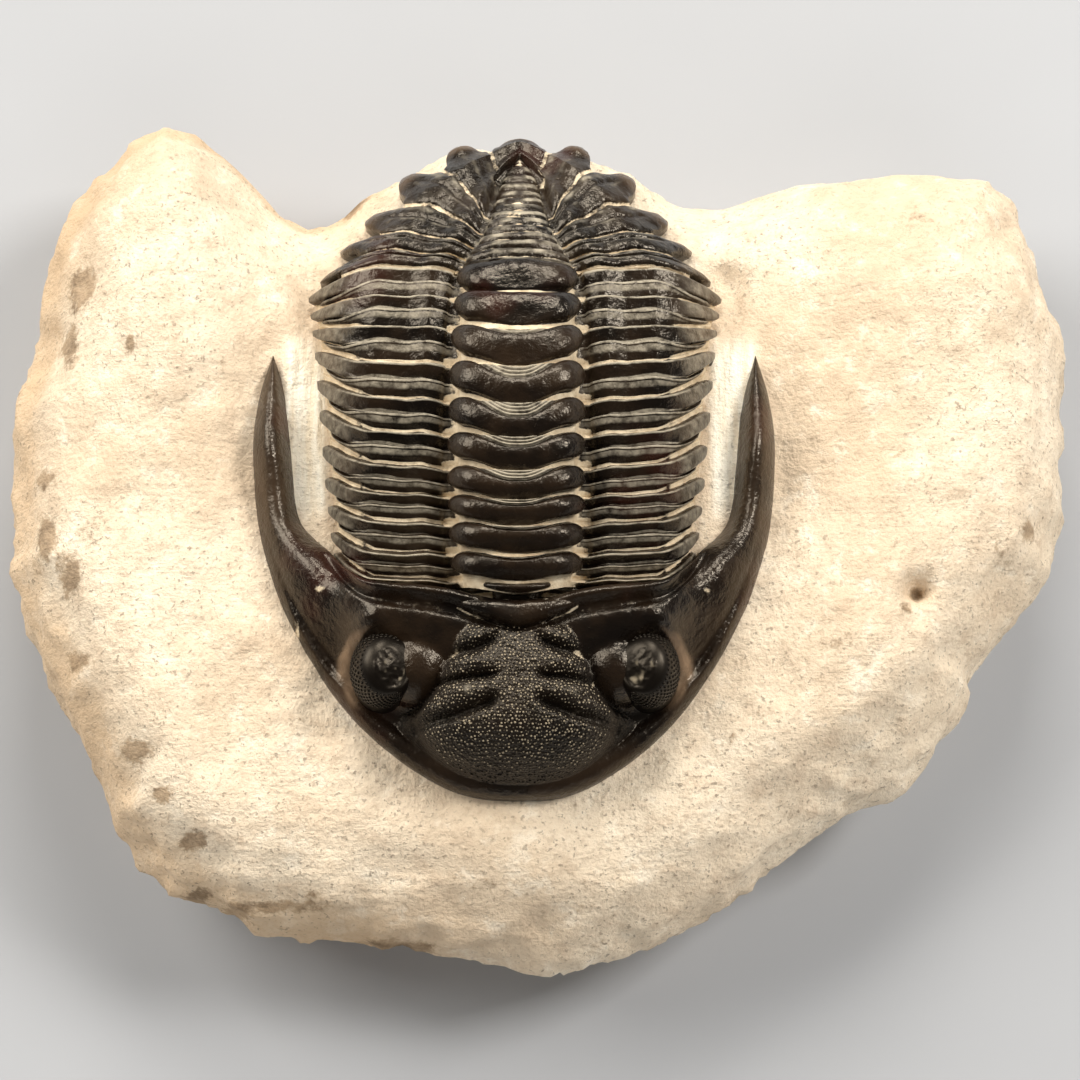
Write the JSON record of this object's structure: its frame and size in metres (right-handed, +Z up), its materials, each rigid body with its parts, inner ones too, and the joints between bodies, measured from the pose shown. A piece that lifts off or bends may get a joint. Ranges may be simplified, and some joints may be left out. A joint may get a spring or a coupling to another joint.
{
  "type": "trilobite fossil",
  "caption": "Dark spiny-tailed trilobite with long cheek spines, prepared out on an irregular slab of cream limestone that lies flat as a display piece.",
  "frame": {"origin": "middle of the slab's flat base", "axes": "+X across the slab to the animal's left as seen from above with the tail away, along the longest side; +Y from the head towards the tail; +Z up out of the slab"},
  "size_m": [0.0839, 0.0673, 0.0275],
  "materials": {
    "limestone": "matte",
    "shell": "satin"
  },
  "bodies": {
    "root": {"limestone_matrix": "limestone", "cephalon": "shell", "thoracic_segment_01": "shell", "thoracic_segment_02": "shell", "thoracic_segment_03": "shell", "thoracic_segment_04": "shell", "thoracic_segment_05": "shell", "thoracic_segment_06": "shell", "thoracic_segment_07": "shell", "thoracic_segment_08": "shell", "thoracic_segment_09": "shell", "thoracic_segment_10": "shell", "thoracic_segment_11": "shell", "pygidium": "shell"}
  },
  "joints": []
}
